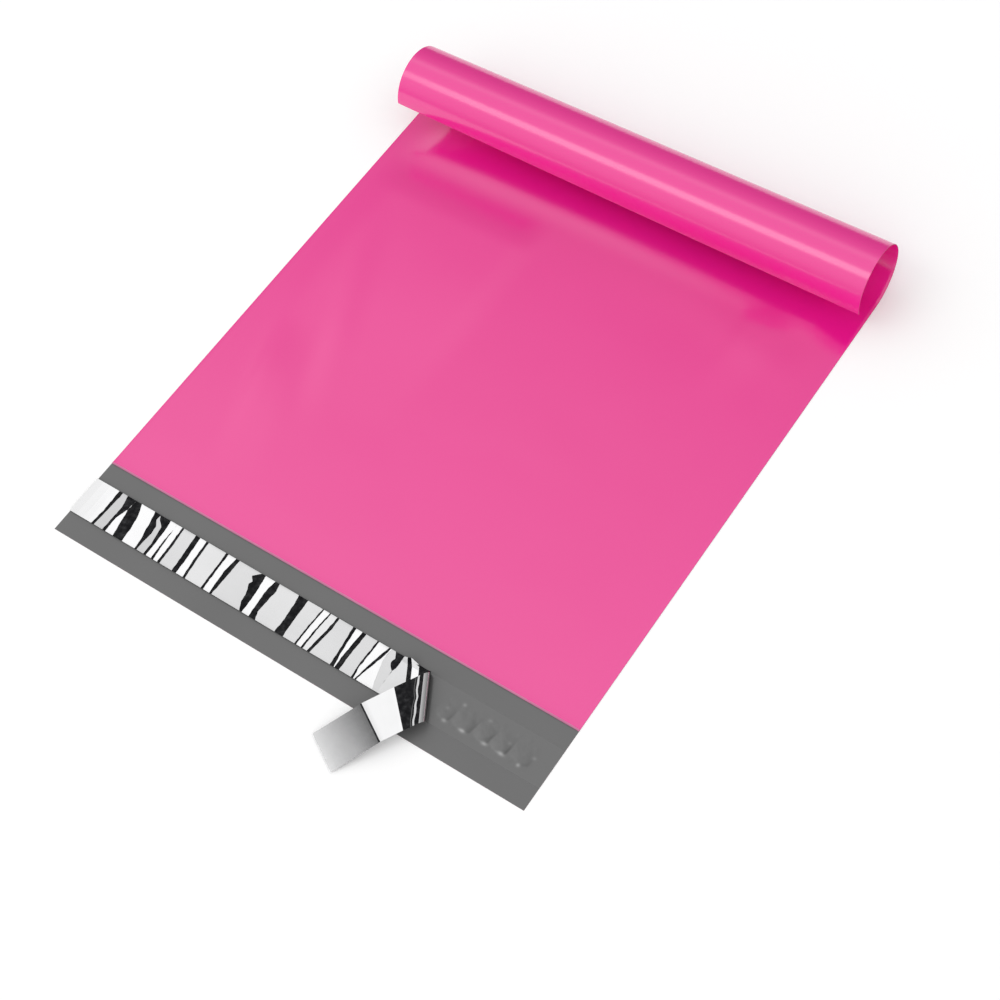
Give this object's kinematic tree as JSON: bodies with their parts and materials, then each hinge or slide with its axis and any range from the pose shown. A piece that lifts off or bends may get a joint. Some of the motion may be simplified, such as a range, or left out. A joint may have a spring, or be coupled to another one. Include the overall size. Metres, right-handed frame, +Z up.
{
  "type": "poly mailer bag",
  "caption": "Flat film mailing bag with a spread adhesive flap, a partly peeled and folded release liner, and its bottom end curled up into an open roll.",
  "frame": {"origin": "middle of the footprint, on the surface that the back panel lies on", "axes": "+Y from the flap to the rolled end, +X across the bag, +Z up out of the front panel"},
  "size_m": [0.254, 0.3322, 0.036],
  "materials": {
    "pink_film": "glossy two-layer polyethylene film, pink outside and dark grey inside",
    "adhesive": "clear pressure sensitive adhesive over the grey film, with low glossy ridges",
    "silver_liner": "mirror-like silver release film with cross wrinkles"
  },
  "bodies": {
    "root": {"bag_film": "pink_film", "adhesive_strip": "adhesive", "release_liner": "silver_liner"}
  },
  "joints": []
}
